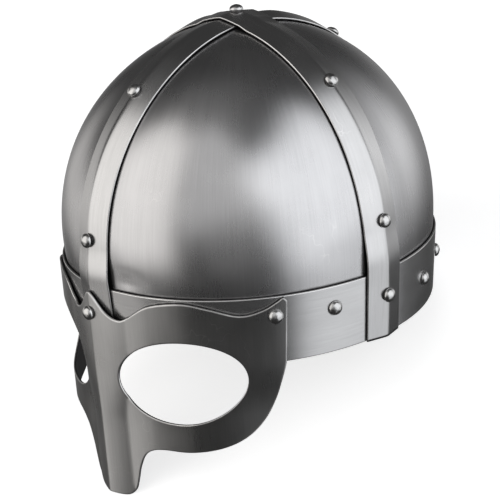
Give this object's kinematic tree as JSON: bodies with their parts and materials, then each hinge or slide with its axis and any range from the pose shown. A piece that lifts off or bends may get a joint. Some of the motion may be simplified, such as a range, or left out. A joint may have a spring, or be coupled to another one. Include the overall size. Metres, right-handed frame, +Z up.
{
  "type": "riveted spectacle helmet",
  "caption": "Domed steel helmet of riveted plates and crossing straps with a brow band and a face guard with eye holes and a nasal.",
  "frame": {"origin": "on the floor, below the middle of the helmet's box as it rests on the tip of its nasal and the back of its rim", "axes": "+Z up, the face looks along -Y and is tipped up, +X is the wearer's left"},
  "size_m": [0.2262, 0.279, 0.2046],
  "materials": {
    "plate_steel": "satin brushed bare steel, darkened a little towards the edges",
    "band_steel": "satin bare steel with bright rubbed edges",
    "guard_steel": "satin bare steel, finely brushed, with bright rubbed edges",
    "rivet_steel": "smooth domed steel heads, brighter than the sheet"
  },
  "bodies": {
    "root": {"brow_band": "band_steel", "dome_plate_front_left": "plate_steel", "dome_plate_front_right": "plate_steel", "dome_plate_rear_left": "plate_steel", "dome_plate_rear_right": "plate_steel", "eye_guard": "guard_steel", "front_rear_strap": "band_steel", "rivet_brow_left_front": "rivet_steel", "rivet_brow_left_rear_1": "rivet_steel", "rivet_brow_left_rear_2": "rivet_steel", "rivet_brow_left_rear_3": "rivet_steel", "rivet_brow_right_front": "rivet_steel", "rivet_brow_right_rear_1": "rivet_steel", "rivet_brow_right_rear_2": "rivet_steel", "rivet_brow_right_rear_3": "rivet_steel", "rivet_crown": "rivet_steel", "rivet_front_high": "rivet_steel", "rivet_front_low": "rivet_steel", "rivet_guard_centre": "rivet_steel", "rivet_guard_end_left": "rivet_steel", "rivet_guard_end_right": "rivet_steel", "rivet_left_foot": "rivet_steel", "rivet_left_high": "rivet_steel", "rivet_left_low": "rivet_steel", "rivet_rear_foot": "rivet_steel", "rivet_rear_high": "rivet_steel", "rivet_rear_low": "rivet_steel", "rivet_right_foot": "rivet_steel", "rivet_right_high": "rivet_steel", "rivet_right_low": "rivet_steel", "side_strap": "band_steel"}
  },
  "joints": []
}
